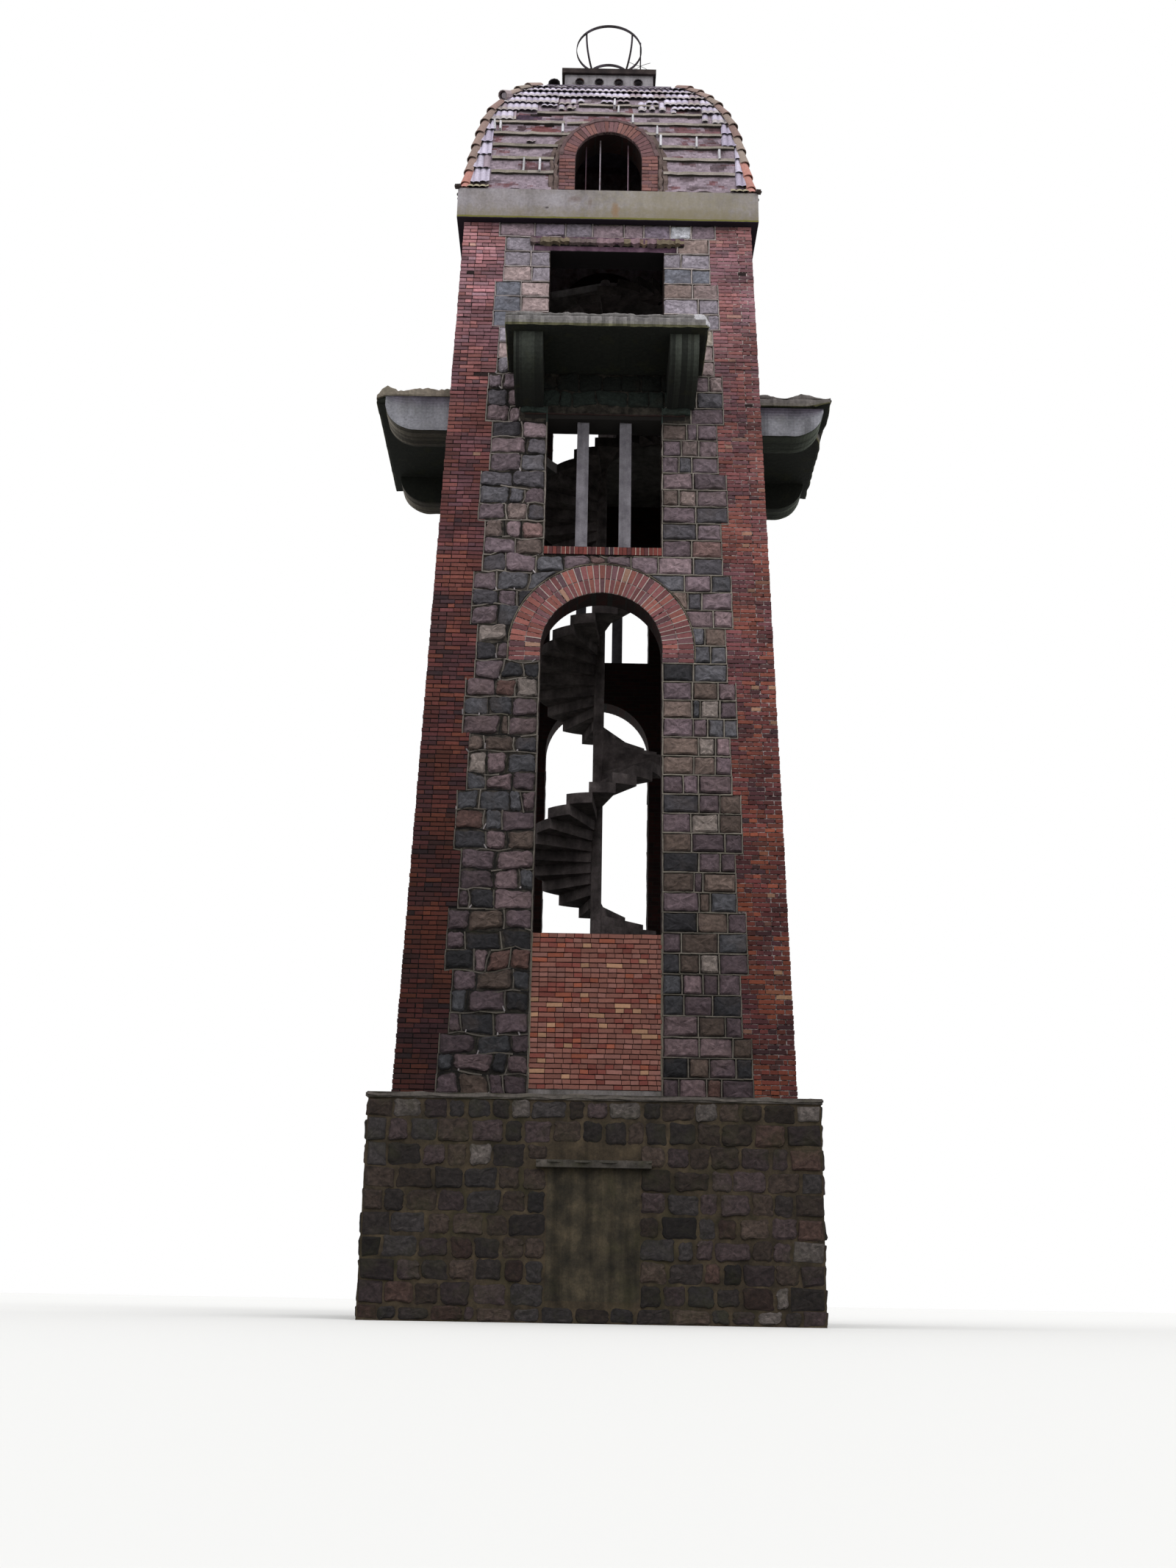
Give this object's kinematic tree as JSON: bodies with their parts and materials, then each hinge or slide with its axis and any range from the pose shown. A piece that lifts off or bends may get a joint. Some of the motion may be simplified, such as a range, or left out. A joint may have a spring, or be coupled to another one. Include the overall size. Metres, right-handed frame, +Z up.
{
  "type": "masonry lookout tower",
  "caption": "Square tapering lookout tower of brick and granite, with tall arches, balconies on every side, a spiral stair and a curved roof that carries a fire basket.",
  "frame": {"origin": "centre of the plinth's foot, on the ground", "axes": "+Z up along the tower's axis; the front, with the walled-up doorway in the plinth, looks along -Y"},
  "size_m": [8.3414, 8.3414, 25.6758],
  "materials": {
    "plinth_stone": "rough fieldstone with wide buff joints",
    "granite": "rough granite with raised light joints",
    "brick": "weathered brick",
    "new_brick": "bright brick",
    "concrete": "weathered concrete",
    "cement": "rough cement",
    "render": "rough render",
    "rusty_lintel": "rust-stained concrete",
    "roof_masonry": "bare masonry",
    "tile": "old clay tile",
    "iron": "rusty wrought iron"
  },
  "bodies": {
    "root": {"plinth": "plinth_stone", "plinth_cap": "cement", "plinth_door_fill": "render", "plinth_door_ledge": "cement", "pier_front_right": "brick", "pier_back_right": "brick", "pier_back_left": "brick", "pier_front_left": "brick", "front_stone_left": "granite", "right_stone_left": "granite", "back_stone_left": "granite", "left_stone_left": "granite", "front_stone_right": "granite", "right_stone_right": "granite", "back_stone_right": "granite", "left_stone_right": "granite", "front_stone_centre": "granite", "right_stone_centre": "granite", "back_stone_centre": "granite", "left_stone_centre": "granite", "arch_rings": "brick", "arch_fills": "new_brick", "arch_strips": "concrete", "window_sills": "brick", "window_frames": "concrete", "door_lintels": "rusty_lintel", "front_balcony": "concrete", "right_balcony": "concrete", "back_balcony": "concrete", "left_balcony": "concrete", "balcony_floor": "concrete", "loft_floor": "concrete", "cornice": "concrete", "roof_vault": "roof_masonry", "roof_window_rings": "brick", "crown_slab": "concrete", "vent_block": "concrete", "cap_slab": "concrete", "fire_basket": "iron", "newel": "concrete", "stair_flight_1": "concrete", "stair_flight_2": "concrete", "stair_flight_3": "concrete", "stair_flight_4": "concrete", "stair_flight_5": "concrete"}
  },
  "joints": []
}
